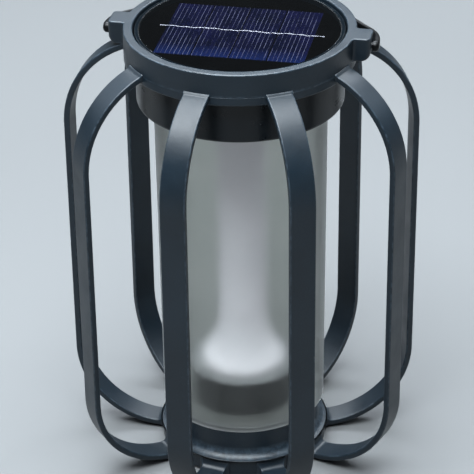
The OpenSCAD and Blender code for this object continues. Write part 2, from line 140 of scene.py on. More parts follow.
def merge(obj, joined, cut):
    """Joins closed shells to a piece and cuts others out of it, for good."""
    for operation, others in (("UNION", joined), ("DIFFERENCE", cut)):
        for other in others:
            modifier = obj.modifiers.new("merge", "BOOLEAN")
            modifier.operation = operation
            modifier.object = other
            modifier.solver = "EXACT"
    graph = bpy.context.evaluated_depsgraph_get()
    mesh = bpy.data.meshes.new_from_object(obj.evaluated_get(graph))
    obj.modifiers.clear()
    old, obj.data = obj.data, mesh
    bpy.data.meshes.remove(old)
    for other in joined + cut:
        bpy.data.meshes.remove(other.data)
    bm = bmesh.new()
    bm.from_mesh(mesh)
    bmesh.ops.remove_doubles(bm, verts=bm.verts, dist=WELD)
    bmesh.ops.dissolve_degenerate(bm, dist=WELD, edges=bm.edges)
    bm.to_mesh(mesh)
    bm.free()
    mesh.set_sharp_from_angle(angle=math.radians(38))
    weigh_normals(obj)
    return obj


def spread(shell, radius, angles):
    """Copies of a shell, stood at a radius and several angles, for merge()."""
    copies = []
    small_turn = 0.037  # keeps their points off the points of the shell they join
    for a in np.radians(angles):
        place = Vector((math.cos(a), math.sin(a), 0)) * radius
        stand = Matrix.Translation(place) @ Matrix.Rotation(small_turn, 4, "Z")
        copies.append(Shape().add(*shell, stand).piece("part", weighted=False))
    return copies


def outline(corners, steps=5):
    """Points and edge marks of a closed outline whose corners (x, y, radius) are rounded."""
    points, marks = [], []
    count = len(corners)
    for i, (x, y, radius) in enumerate(corners):
        p = np.array((x, y), float)
        if radius <= 0:
            points.append(p)
            marks.append(0.0)
            continue
        a = np.array(corners[i - 1][:2], float) - p
        b = np.array(corners[(i + 1) % count][:2], float) - p
        a /= np.linalg.norm(a)
        b /= np.linalg.norm(b)
        half = math.acos(max(-1.0, min(1.0, float(a @ b)))) / 2
        along = radius / math.tan(half)
        middle = (a + b) / np.linalg.norm(a + b)
        centre = p + middle * radius / math.sin(half)
        start, end = p + a * along - centre, p + b * along - centre
        a0 = math.atan2(start[1], start[0])
        turn = math.atan2(end[1], end[0]) - a0
        turn = (turn + math.pi) % (2 * math.pi) - math.pi
        for k in range(steps + 1):
            t = a0 + turn * k / steps
            points.append(centre + radius * np.array((math.cos(t), math.sin(t))))
            marks.append(1.0 - abs(2 * k / steps - 1) ** 2)
    return points, marks


def arc(cx, cy, radius, a0, a1, steps):
    """Points of an arc, angles in degrees."""
    return [(cx + radius * math.cos(math.radians(t)), cy + radius * math.sin(math.radians(t)))
            for t in np.linspace(a0, a1, steps)]


def revolve(line, steps=192):
    """A closed (r, z) outline turned about the Z axis."""
    points, line_marks = line
    verts, marks, faces, rows = [], [], [], []
    for (r, z), mark in zip(points, line_marks):
        if r < 1e-7:
            rows.append([len(verts)] * steps)
            verts.append((0, 0, z))
            marks.append(mark)
            continue
        rows.append(list(range(len(verts), len(verts) + steps)))
        for k in range(steps):
            a = 2 * math.pi * k / steps
            verts.append((r * math.cos(a), r * math.sin(a), z))
            marks.append(mark)
    for i, row in enumerate(rows):
        after = rows[(i + 1) % len(rows)]
        if row[0] == row[1] and after[0] == after[1]:
            continue
        for k in range(steps):
            j = (k + 1) % steps
            face = list(dict.fromkeys((row[k], row[j], after[j], after[k])))
            faces.append(face)
    return verts, faces, marks


def loft(rings, ring_marks, closed=False):
    """Quads between equal rings of points, closed into a loop or capped at both ends."""
    n = len(rings[0])
    verts = [v for ring in rings for v in ring]
    marks = [m for ring in ring_marks for m in ring]
    faces = []
    last = len(rings) if closed else len(rings) - 1
    for i in range(last):
        a, b = i * n, ((i + 1) % len(rings)) * n
        for k in range(n):
            j = (k + 1) % n
            faces.append([a + k, a + j, b + j, b + k])
    if not closed:
        faces.append(list(range(n)))
        faces.append(list(range((len(rings) - 1) * n, len(rings) * n)))
    return verts, faces, marks


def bar_section(half_a, half_b, radius, steps=5):
    """Outline of a rounded bar, half_a by half_b."""
    return outline([(half_a, half_b, radius), (-half_a, half_b, radius),
                    (-half_a, -half_b, radius), (half_a, -half_b, radius)], steps)


def flare(distance, radius):
    """How far a round fillet stands out at a distance from the wall it meets."""
    d = min(max(distance, 0.0), radius)
    return radius - math.sqrt(max(radius ** 2 - (radius - d) ** 2, 0.0))


# ---------- material helpers ----------

class Material:
    """A node material, built by short calls."""

    def __init__(self, name):
        self.data = bpy.data.materials.new(name)
        self.data.use_nodes = True
        self.tree = self.data.node_tree
        self.tree.nodes.clear()
        self.coords = self.tree.nodes.new("ShaderNodeTexCoord").outputs["Object"]

    def node(self, kind, inputs=None, **props):
        made = self.tree.nodes.new(kind)
        for key, value in props.items():
            setattr(made, key, value)
        for key, value in (inputs or {}).items():
            if isinstance(value, bpy.types.NodeSocket):
                self.tree.links.new(value, made.inputs[key])
            else:
                made.inputs[key].default_value = value
        return made

    def noise(self, size, detail=3.0, stretch=(1, 1, 1), rough=0.5):
        """Noise whose features are about size metres across."""
        mapped = self.node("ShaderNodeMapping", {"Vector": self.coords, "Scale": stretch})
        return self.node("ShaderNodeTexNoise", {
            "Vector": mapped.outputs[0], "Scale": 1 / size, "Detail": detail,
            "Roughness": rough}).outputs["Fac"]

    def math(self, operation, a, b=0.5, clamp=False):
        return self.node("ShaderNodeMath", {0: a, 1: b}, operation=operation,
                         use_clamp=clamp).outputs[0]

    def span(self, value, low, high, to_low=0.0, to_high=1.0):
        """value, mapped from low..high to to_low..to_high and held there."""
        return self.node("ShaderNodeMapRange", {
            "Value": value, "From Min": low, "From Max": high,
            "To Min": to_low, "To Max": to_high}).outputs[0]

    def height(self):
        return self.node("ShaderNodeSeparateXYZ", {0: self.coords}).outputs[2]

    def mix(self, factor, a, b):
        made = self.tree.nodes.new("ShaderNodeMix")
        made.data_type = "RGBA"
        for socket, value in ((made.inputs["Factor"], factor), (made.inputs[6], a),
                              (made.inputs[7], b)):
            if isinstance(value, bpy.types.NodeSocket):
                self.tree.links.new(value, socket)
            else:
                if socket.type == "RGBA" and len(value) == 3:
                    value = (*value, 1)
                socket.default_value = value
        return made.outputs[2]

    def bump(self, height, distance, strength=1.0, normal=None):
        inputs = {"Height": height, "Distance": distance, "Strength": strength}
        if normal is not None:
            inputs["Normal"] = normal
        return self.node("ShaderNodeBump", inputs).outputs[0]

    def mark(self):
        """The edge marks of the mesh, 0 where it has none."""
        return self.node("ShaderNodeAttribute", attribute_name="edge_mark").outputs["Fac"]

    def surface(self, shader):
        out = self.tree.nodes.new("ShaderNodeOutputMaterial")
        self.tree.links.new(shader, out.inputs["Surface"])
        return self.data

    def principled(self, **inputs):
        names = {"color": "Base Color", "rough": "Roughness", "metal": "Metallic",
                 "normal": "Normal", "coat": "Coat Weight", "coat_rough": "Coat Roughness",
                 "specular": "Specular IOR Level"}
        made = {}
        for key, value in inputs.items():
            if key == "color" and not isinstance(value, bpy.types.NodeSocket):
                value = (*value[:3], 1)
            made[names[key]] = value
        return self.node("ShaderNodeBsdfPrincipled", made).outputs[0]


def moulded(name, color, rough=0.45, grain=0.35 * MM, depth=0.02 * MM, vary=0.25,
            wear=0.25, coat=0.0, specular=0.5):
    """Moulded or coated surface: tone drift, uneven gloss, fine grain, lighter edges."""
    m = Material(name)
    color = np.array(color)
    drift = m.span(m.noise(18 * MM, 2.0), 0.3, 0.7)
    tone = m.mix(drift, tuple(color * (1 - vary)), tuple(color * (1 + vary)))
    speckle = m.span(m.noise(1.1 * MM, 4.0), 0.35, 0.75)
    tone = m.mix(m.math("MULTIPLY", speckle, 0.35), tone, tuple(color * (1 + 1.6 * vary)))
    scuff = m.span(m.noise(2.5 * MM, 5.0, rough=0.7), 0.45, 0.7)
    edge = m.math("MULTIPLY", m.math("MULTIPLY", m.mark(), scuff), wear, clamp=True)
    tone = m.mix(edge, tone, tuple(color * 2.6 + 0.02))
    gloss = m.span(m.noise(7 * MM, 3.0), 0.3, 0.7, rough - 0.05, rough + 0.07)
    gloss = m.math("SUBTRACT", gloss, m.math("MULTIPLY", edge, 0.25), clamp=True)
    height = m.bump(m.noise(grain, 2.0), depth, 0.6)
    return m.surface(m.principled(color=tone, rough=gloss, normal=height, coat=coat,
                                  coat_rough=0.12, specular=specular))


def powder_coat():
    """Slate powder coat: orange peel, fine grain, edges lighter from wear and a painted highlight."""
    m = Material("cage_coat_look")
    base = np.array((0.0048, 0.0105, 0.0165))
    drift = m.span(m.noise(30 * MM, 3.0), 0.3, 0.7)
    tone = m.mix(drift, tuple(base * 0.8), tuple(base * 1.2))
    speckle = m.span(m.noise(0.9 * MM, 3.0), 0.5, 0.8)
    tone = m.mix(m.math("MULTIPLY", speckle, 0.4), tone, tuple(base * 1.9))
    # Lighter edges: partly wear, partly a painted highlight on the rounded lip and edges.
    scuff = m.span(m.noise(3 * MM, 5.0, rough=0.7), 0.42, 0.68)
    edge = m.math("MULTIPLY", m.math("MULTIPLY", m.mark(), scuff), 0.5, clamp=True)
    tone = m.mix(edge, tone, (0.07, 0.10, 0.13))
    gloss = m.span(m.noise(12 * MM, 4.0), 0.3, 0.7, 0.34, 0.44)
    peel = m.bump(m.noise(1.6 * MM, 1.0), 0.05 * MM, 0.5)
    grain = m.bump(m.noise(0.35 * MM, 2.0), 0.014 * MM, 0.8, peel)
    return m.surface(m.principled(color=tone, rough=gloss, normal=grain, specular=0.45))


def brushed_metal(name, color, rough=0.3, stretch=(1, 1, 1)):
    """Metal with fine lines, light stains and uneven gloss."""
    m = Material(name)
    color = np.array(color)
    lines = m.noise(0.5 * MM, 4.0, stretch)
    tone = m.mix(m.span(lines, 0.3, 0.7), tuple(color * 0.8), tuple(np.minimum(color * 1.15, 1)))
    stain = m.span(m.noise(4 * MM, 4.0), 0.4, 0.75)
    tone = m.mix(m.math("MULTIPLY", stain, 0.3), tone, tuple(color * 0.55))
    gloss = m.span(m.noise(2 * MM, 3.0), 0.3, 0.7, rough - 0.06, rough + 0.12)
    return m.surface(m.principled(color=tone, rough=gloss, metal=1.0,
                                  normal=m.bump(lines, 0.01 * MM, 0.6)))


def solar_cell():
    """Dark blue silicon with thin printed fingers along Y."""
    m = Material("solar_cell_look")
    xyz = m.node("ShaderNodeSeparateXYZ", {0: m.coords})
    x, y = xyz.outputs[0], xyz.outputs[1]
    cloud = m.span(m.noise(22 * MM, 2.0), 0.35, 0.65)
    tone = m.mix(cloud, (0.0005, 0.0011, 0.0055), (0.0014, 0.0018, 0.0110))
    # Painted reflection: the cells turn lighter and bluer towards their front edge.
    front = m.span(y, cells_lo.y + 12 * MM, cells_lo.y, 0.0, 0.8)
    tone = m.mix(front, tone, (0.0026, 0.0075, 0.036))
    grain = m.span(m.noise(1.4 * MM, 3.0, (1, 0.15, 1)), 0.4, 0.7)
    tone = m.mix(m.math("MULTIPLY", grain, 0.35), tone, (0.004, 0.004, 0.020))
    wave = m.math("PINGPONG", m.math("ADD", x, 0.4 * MM), FINGER_PITCH / 2)
    breaks = m.span(m.noise(7 * MM, 4.0, (1.6, 0.6, 1), 0.6), 0.36, 0.60)
    finger = m.math("MULTIPLY", m.span(wave, 0.12 * MM, 0.07 * MM), breaks, clamp=True)
    tone = m.mix(finger, tone, (0.070, 0.070, 0.105))
    height = m.bump(finger, 0.02 * MM, 1.0)
    return m.surface(m.principled(color=tone, rough=0.5, normal=height, specular=0.0))


def window_glass():
    """Clear glossy cover: see-through, with a mirror-like sheen and faint smears."""
    m = Material("window_glass_look")
    inside = m.node("ShaderNodeNewGeometry").outputs["Backfacing"]
    fresnel = m.math("MULTIPLY", m.node("ShaderNodeFresnel", {"IOR": 1.5}).outputs[0],
                     m.math("SUBTRACT", 1.0, inside))
    smear = m.span(m.noise(9 * MM, 5.0, (1, 2.2, 1), 0.65), 0.45, 0.75)
    rough = m.math("MAXIMUM", m.span(smear, 0, 1, 0.02, 0.055),
                   m.math("MULTIPLY", m.mark(), 0.45))
    wavy = m.bump(m.noise(14 * MM, 2.0), 0.03 * MM, 0.3)
    gloss = m.node("ShaderNodeBsdfGlossy", {"Roughness": rough, "Normal": wavy,
                                            "Color": (0.97, 0.98, 1, 1)}).outputs[0]
    clear = m.node("ShaderNodeBsdfTransparent", {"Color": (0.93, 0.94, 0.95, 1)}).outputs[0]
    body = m.node("ShaderNodeMixShader", {0: fresnel, 1: clear, 2: gloss}).outputs[0]
    dust = m.node("ShaderNodeBsdfDiffuse", {"Color": (0.5, 0.52, 0.55, 1)}).outputs[0]
    haze = m.math("MULTIPLY", smear, 0.0005)
    return m.surface(m.node("ShaderNodeMixShader", {0: haze, 1: body, 2: dust}).outputs[0])


def frosted():
    """Frosted tube: blurs what is behind it, and glows a little where light falls on it."""
    m = Material("frosted_diffuser_look")
    cloud = m.span(m.noise(16 * MM, 3.0), 0.3, 0.7)
    tint = m.mix(cloud, (0.77, 0.78, 0.765), (0.80, 0.805, 0.79))
    grain = m.bump(m.noise(0.3 * MM, 2.0), 0.008 * MM, 0.7)
    through = m.node("ShaderNodeBsdfRefraction", {
        "Color": tint, "Roughness": 0.38, "IOR": 1.25}).outputs[0]
    skin = m.node("ShaderNodeBsdfGlossy", {"Roughness": 0.3, "Normal": grain,
                                           "Color": (1, 1, 1, 1)}).outputs[0]
    milk = m.node("ShaderNodeBsdfTranslucent", {"Color": (0.84, 0.85, 0.84, 1)}).outputs[0]
    face = m.node("ShaderNodeBsdfDiffuse", {"Color": (0.66, 0.67, 0.66, 1)}).outputs[0]
    milky = m.node("ShaderNodeMixShader", {0: 0.45, 1: milk, 2: face}).outputs[0]
    height = m.height()
    foot = m.span(height, base_hi.z + 5 * MM, base_hi.z + 1.5 * MM, 0.03, 0.16)
    body = m.node("ShaderNodeMixShader", {0: foot, 1: through, 2: milky}).outputs[0]
    fresnel = m.math("MULTIPLY", m.node("ShaderNodeFresnel", {"IOR": 1.4}).outputs[0], 0.5)
    seen = m.node("ShaderNodeMixShader", {0: fresnel, 1: body, 2: skin}).outputs[0]
    path = m.node("ShaderNodeLightPath")
    soft = m.math("MAXIMUM", path.outputs["Is Shadow Ray"], path.outputs["Is Diffuse Ray"])
    clear = m.node("ShaderNodeBsdfTransparent", {"Color": (0.96, 0.965, 0.96, 1)}).outputs[0]
    return m.surface(m.node("ShaderNodeMixShader", {0: soft, 1: seen, 2: clear}).outputs[0])


def opal():
    """Opal white plastic that lets a little light through, with a painted glow stronger lower down."""
    m = Material("opal_guide_look")
    cloud = m.span(m.noise(25 * MM, 3.0), 0.3, 0.7)
    tone = m.mix(cloud, (0.80, 0.79, 0.83), (0.88, 0.87, 0.90))
    rough = m.span(m.noise(5 * MM, 3.0), 0.3, 0.7, 0.32, 0.45)
    grain = m.bump(m.noise(0.5 * MM, 2.0), 0.006 * MM, 0.5)
    body = m.principled(color=tone, rough=rough, normal=grain)
    glow = m.node("ShaderNodeBsdfTranslucent", {"Color": (0.85, 0.84, 0.88, 1)}).outputs[0]
    # Painted glow: a faint emission, strongest at the bottom, stands in for daylight in the unlit guide.
    height = m.height()
    spread = m.span(height, guide_lo.z, guide_hi.z, 0.23, 0.09)
    painted_glow = m.node("ShaderNodeEmission", {"Color": (0.90, 0.92, 1.0, 1),
                                        "Strength": spread}).outputs[0]
    white = m.node("ShaderNodeMixShader", {0: 0.3, 1: body, 2: glow}).outputs[0]
    return m.surface(m.node("ShaderNodeAddShader", {0: white, 1: painted_glow}).outputs[0])


def housing_plastic():
    """Near-black moulded plastic; the rim beside the window is as glossy as the window."""
    m = Material("module_plastic_look")
    drift = m.span(m.noise(18 * MM, 2.0), 0.3, 0.7)
    tone = m.mix(drift, (0.0015, 0.0030, 0.0045), (0.0022, 0.0044, 0.0066))
    speckle = m.span(m.noise(1.1 * MM, 4.0), 0.35, 0.75, 0.0, 0.3)
    tone = m.mix(speckle, tone, (0.0030, 0.0052, 0.0072))
    height = m.height()
    rim = m.span(height, housing_hi.z - 0.7 * MM, housing_hi.z - 0.5 * MM)
    satin = m.span(m.noise(7 * MM, 3.0), 0.3, 0.7, 0.26, 0.36)
    gloss = m.math("SUBTRACT", satin, m.math("MULTIPLY", rim, 0.22), clamp=True)
    gloss = m.math("MAXIMUM", gloss, m.math("MULTIPLY", m.mark(), 0.4))
    grain = m.bump(m.noise(0.6 * MM, 2.0), 0.006 * MM, 0.6)
    return m.surface(m.principled(color=tone, rough=gloss, normal=grain, specular=0.35))


def lamp_cup_plastic():
    """Glossy black plastic, with a satin grey face on top that throws light upwards."""
    m = Material("lamp_base_plastic_look")
    drift = m.span(m.noise(15 * MM, 2.0), 0.3, 0.7)
    black = m.mix(drift, (0.004, 0.0045, 0.0055), (0.007, 0.0075, 0.009))
    grey = m.mix(drift, (0.15, 0.155, 0.16), (0.20, 0.205, 0.21))
    height = m.height()
    top = m.span(height, lamp_hi.z - 0.25 * MM, lamp_hi.z - 0.1 * MM)
    tone = m.mix(top, black, grey)
    gloss = m.span(m.noise(5 * MM, 3.0), 0.3, 0.7, 0.17, 0.27)
    grain = m.bump(m.noise(0.8 * MM, 2.0), 0.006 * MM, 0.5)
    return m.surface(m.principled(color=tone, rough=gloss, normal=grain, specular=0.4))


def circuit():
    """Green solder mask with faint traces."""
    m = Material("circuit_board_look")
    cells = m.node("ShaderNodeTexVoronoi", {"Vector": m.coords, "Scale": 1 / (2.4 * MM)},
                   distance="CHEBYCHEV", feature="F1").outputs["Distance"]
    trace = m.span(cells, 0.38, 0.46)
    tone = m.mix(m.math("MULTIPLY", trace, 0.6), (0.008, 0.07, 0.03), (0.02, 0.14, 0.06))
    dirt = m.span(m.noise(6 * MM, 4.0), 0.4, 0.7, 0.2, 0.34)
    return m.surface(m.principled(color=tone, rough=dirt, coat=0.3,
                                  normal=m.bump(trace, 0.03 * MM, 0.7)))


def phosphor():
    """Yellow phosphor under a clear dome."""
    m = Material("led_phosphor_look")
    tone = m.mix(m.span(m.noise(0.5 * MM, 2.0), 0.3, 0.7), (0.70, 0.42, 0.04),
                 (0.85, 0.60, 0.10))
    return m.surface(m.principled(color=tone, rough=0.3, coat=0.5,
                                  normal=m.bump(m.noise(0.3 * MM), 0.02 * MM, 0.5)))


def banded_wrap():
    """Shrink sleeve of a battery cell, with a plain ring near one end."""
    m = Material("battery_wrap_look")
    x = m.node("ShaderNodeSeparateXYZ", {0: m.coords}).outputs[0]
    ring = m.span(m.math("ABSOLUTE", m.math("SUBTRACT", x, 27 * MM)), 1.6 * MM, 1.4 * MM)
    tone = m.mix(m.span(m.noise(10 * MM), 0.3, 0.7), (0.01, 0.05, 0.16), (0.014, 0.07, 0.22))
    tone = m.mix(ring, tone, (0.55, 0.56, 0.58))
    wrinkle = m.bump(m.noise(3 * MM, 3.0, (0.3, 1, 1)), 0.05 * MM, 0.5)
    return m.surface(m.principled(color=tone, rough=0.28, coat=0.4, normal=wrinkle))


LOOKS = {
    "cage_coat": powder_coat(),
    "black_rubber": moulded("black_rubber_look", (0.012, 0.012, 0.013), 0.75, 0.5 * MM,
                            0.04 * MM, wear=0.15, specular=0.35),
    "black_pin": moulded("black_pin_look", (0.010, 0.010, 0.012), 0.35, 0.3 * MM, 0.01 * MM,
                         wear=0.6),
    "handle_plastic": moulded("handle_plastic_look", (0.0018, 0.0019, 0.0022), 0.34, 0.6 * MM,
                              0.015 * MM, wear=0.06, specular=0.2),
    "window_glass": window_glass(),
    "solar_cell": solar_cell(),
    "tinned_ribbon": brushed_metal("tinned_ribbon_look", (0.34, 0.33, 0.36), 0.42, (0.2, 1, 1)),
    "black_backing": moulded("black_backing_look", (0.0003, 0.0003, 0.00035), 0.5, 2 * MM,
                             0.02 * MM, vary=0.5, specular=0.0),
    "module_plastic": housing_plastic(),
    "screw_steel": brushed_metal("screw_steel_look", (0.55, 0.56, 0.57), 0.3),
    "battery_wrap": banded_wrap(),
    "holder_plastic": moulded("holder_plastic_look", (0.012, 0.012, 0.014), 0.5),
    "contact_metal": brushed_metal("contact_metal_look", (0.70, 0.69, 0.66), 0.25),
    "red_wire": moulded("red_wire_look", (0.36, 0.012, 0.010), 0.35, 0.4 * MM, 0.01 * MM),
    "circuit_board": circuit(),
    "component_plastic": moulded("component_plastic_look", (0.010, 0.010, 0.012), 0.5,
                                 0.2 * MM, 0.01 * MM),
    "button_plastic": moulded("button_plastic_look", (0.21, 0.22, 0.23), 0.4, 0.3 * MM,
                              0.01 * MM, vary=0.1),
    "frosted_diffuser": frosted(),
    "opal_guide": opal(),
    "lamp_base_plastic": lamp_cup_plastic(),
    "white_board": moulded("white_board_look", (0.70, 0.71, 0.69), 0.3, 0.5 * MM, 0.01 * MM,
                           vary=0.05),
    "led_phosphor": phosphor(),
    "black_cable": moulded("black_cable_look", (0.010, 0.010, 0.010), 0.6, 0.4 * MM, 0.02 * MM),
}
SLOT_OF = {p["node"]: p["material_slot"] for p in frame["record"]["subparts"]}
BODY_OF = {n: b for b, group in frame["record"]["behaviour"]["bodies"].items() for n in group}


def paint(obj, slot):
    obj.data.materials.clear()
    obj.data.materials.append(LOOKS[slot])


def stand_in(obj, node):
    """obj is shown in place of a CAD node, on its body and in its material slot."""
    paint(obj, SLOT_OF[node])
    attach(obj, BODY_OF[node])
    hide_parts(node)
    return obj


# ---------- cage: top ring with lugs ----------

def lug_quarter(radius, half_w, reach, fillet, corner):
    """One quarter of the ring's plan, from the lug's end to the middle of the ring's side."""
    points = [(reach, t * (half_w - corner)) for t in (0, 0.5, 1)]
    points += arc(reach - corner, half_w - corner, corner, 0, 90, 6)[1:]
    cy = half_w + fillet
    cx = math.sqrt((radius + fillet) ** 2 - cy ** 2)
    points += [((reach - corner + cx) / 2, half_w), (cx, half_w)]
    meet = math.degrees(math.atan2(-cy, -cx))
    points += arc(cx, cy, fillet, -90, meet, 7)[1:]
    points += arc(0, 0, radius, math.degrees(math.atan2(cy, cx)), 90, 45)[1:]
    return points


def whole_plan(quarter):
    """A quarter of a plan, mirrored into the closed outline."""
    left = [(-x, y) for x, y in reversed(quarter[:-1])]
    below = [(-x, -y) for x, y in quarter[1:]]
    right = [(x, -y) for x, y in reversed(quarter[1:-1])]
    return quarter + left + below + right


def build_ring():
    """Closed loop of rings: up the outside with the lugs, over the top, down the bore."""
    lug_low = CAGE_H - LUG_H
    half_w, corner, fillet = LUG_W / 2, 2.0 * MM, 1.8 * MM
    low_r = 4.0 * MM  # the lug's rounded lower end
    full = whole_plan(lug_quarter(RING_R, half_w, LUG_X, fillet, corner))
    angles = [math.atan2(y, x) for x, y in full]
    rings, marks = [], []

    def circle(r, z, mark=0.0):
        """A round ring of points."""
        rings.append([(r * math.cos(a), r * math.sin(a), z) for a in angles])
        marks.append([mark] * len(angles))

    def plan(z, inset, side, reach, mark=0.0):
        """A ring of points with both lugs, drawn in by inset, side and reach."""
        quarter = lug_quarter(RING_R - inset, half_w - side, reach, fillet + side,
                              corner - min(side, 0.8 * MM))
        rings.append([(x, y, z) for x, y in whole_plan(quarter)])
        marks.append([mark] * len(angles))

    turn = [math.radians(t) for t in np.linspace(0, 90, 6)]
    for t in turn:
        circle(RING_IN + EDGE * (1 - math.cos(t)), ring_lo.z + EDGE * (1 - math.sin(t)),
               math.sin(2 * t))
    for t in turn:
        circle(RING_R - EDGE * (1 - math.sin(t)), ring_lo.z + EDGE * (1 - math.cos(t)),
               math.sin(2 * t))
    circle(RING_R, lug_low - 0.4 * MM)
    circle(RING_R, lug_low)
    for rise in (0, 0.15, 0.35, 0.7, 1.3, 2.0, 2.8, 3.4, 4.0):
        z = rise * MM
        side = EDGE - math.sqrt(max(EDGE ** 2 - max(EDGE - z, 0) ** 2, 0))
        reach = LUG_X - low_r + math.sqrt(max(low_r ** 2 - (low_r - z) ** 2, 0))
        plan(lug_low + z, 0, side, reach, 0.6 if rise < 1 else 0.0)
    plan(CAGE_H - 2.5 * MM, 0, 0, LUG_X)
    for t in turn:
        inset = EDGE * (1 - math.cos(t))
        plan(CAGE_H - EDGE * (1 - math.sin(t)), inset, inset, LUG_X - inset, math.sin(2 * t))
    for t in turn:
        circle(RING_IN + EDGE * (1 - math.sin(t)), CAGE_H - EDGE * (1 - math.cos(t)),
               math.sin(2 * t))
    verts, faces, flat = loft(rings, marks, closed=True)
    return make_piece("ring_frame", verts, faces, flat)


stand_in(build_ring(), "top_ring")


# ---------- cage: straps ----------

def strap_stations():
    """Centre points (x, z) and outward normals along a strap's path in the XZ plane."""
    top_c = (CAGE_R - BEND_TOP, CAGE_H - BEND_DROP)
    low_c = (CAGE_R - BEND_LOW, rib_lo.z + BEND_LOW)
    r_top, r_low = BEND_TOP - RIB_T / 2, BEND_LOW - RIB_T / 2
    into_ring, into_base = 2.2 * MM, 1.8 * MM
    start = math.degrees(math.acos((RING_R - into_ring - top_c[0]) / r_top))
    fine_top, fine_low = start - 12, -76  # closer stations beside the ring and the base
    stations = []
    angles = np.concatenate([np.linspace(start, fine_top, 20),
                             np.linspace(fine_top, 0, 44)[1:]])
    for t in np.radians(angles):
        n = (math.cos(t), math.sin(t))
        stations.append((top_c[0] + r_top * n[0], top_c[1] + r_top * n[1], n))
    for z in np.linspace(top_c[1], low_c[1], 10)[1:-1]:
        stations.append((top_c[0] + r_top, z, (1.0, 0.0)))
    angles = np.concatenate([np.linspace(0, fine_low, 44), np.linspace(fine_low, -90, 22)[1:]])
    for t in np.radians(angles):
        n = (math.cos(t), math.sin(t))
        stations.append((low_c[0] + r_low * n[0], low_c[1] + r_low * n[1], n))
    for r in (low_c[0] - 0.4 * MM, BASE_R - 1.0 * MM, BASE_R - into_base):
        stations.append((r, low_c[1] - r_low, (0.0, -1.0)))
    return stations


def build_straps():
    """All straps, each with small fillets where it meets the ring and the base."""
    rings, marks = [], []
    for x, z, n in strap_stations():
        upper = z > CAGE_H / 2
        gap = x - RING_R if upper else x - BASE_R
        out_more = flare(gap, 0.6 * MM) if upper else 0.0
        in_more = flare(gap, 0.9 * MM) if upper else flare(gap, 4.0 * MM)
        side = flare(gap, 0.35 * MM) if upper else flare(gap, 1.6 * MM)
        half_t = RIB_T / 2
        points, edge = bar_section(half_t, RIB_W / 2 + side, EDGE)
        ring = []
        for u, v in points:
            u += out_more * (u > 0) - in_more * (u < 0)
            ring.append((x + n[0] * u, v, z + n[1] * u))
        rings.append(ring)
        marks.append(edge)
    verts, faces, flat = loft(rings, marks)
    shape = Shape()
    for i in range(RIB_COUNT):
        turn = Matrix.Rotation(math.pi + i * 2 * math.pi / RIB_COUNT, 4, "Z")
        shape.add(verts, faces, flat, turn)
    return shape.piece("cage_straps")


stand_in(build_straps(), "cage_ribs")


# ---------- cage: base plate ----------

pad_seat = pad_hi.y + 0.3 * MM
pan_floor = 5 * MM
neck_fillet = 5.5 * MM
base_outline = outline([
    (0, pad_hi.z, 0), (pad_seat, pad_hi.z, 0),
    (pad_seat, base_lo.z, 0.3 * MM), (BASE_R, base_lo.z, 0.6 * MM),
    (BASE_R, BASE_TOP, 0.45 * MM), (NECK_R, BASE_TOP, neck_fillet),
    (NECK_R, base_hi.z, EDGE), (NECK_IN, base_hi.z, EDGE),
    (NECK_IN, pan_floor, 1.0 * MM), (0, pan_floor, 0)], 8)
stand_in(Shape().add(*revolve(base_outline)).piece("base_shell"), "base_plate")


# ---------- handle ----------

def handle_path():
    """Outer edge and outward normal of the handle's right half, from the ear to the back."""
    ear_out, band_out = handle_hi.x, handle_hi.y
    leave = math.radians(40)  # where the straight stretch leaves the bend
    bend_r = 28 * MM
    bend_x = ear_out - bend_r
    bend_y = (band_out - bend_r - bend_x * math.cos(leave)) / math.sin(leave)
    path = [((ear_out, 0.0), (1.0, 0.0))]
    for t in np.linspace(0, leave, 22):
        n = (math.cos(t), math.sin(t))
        path.append(((bend_x + bend_r * n[0], bend_y + bend_r * n[1]), n))
    start = np.array(path[-1][0])
    end = band_out * np.array(n)
    for t in np.linspace(0, 1, 10)[1:-1]:
        path.append((tuple(start + (end - start) * t), n))
    for t in np.linspace(leave, math.pi / 2, 48):
        n = (math.cos(t), math.sin(t))
        path.append(((band_out * n[0], band_out * n[1]), n))
    return path


def ease(t):
    """0 to 1 with a soft start and end, held outside that range."""
    t = min(max(t, 0.0), 1.0)
    return t * t * (3 - 2 * t)


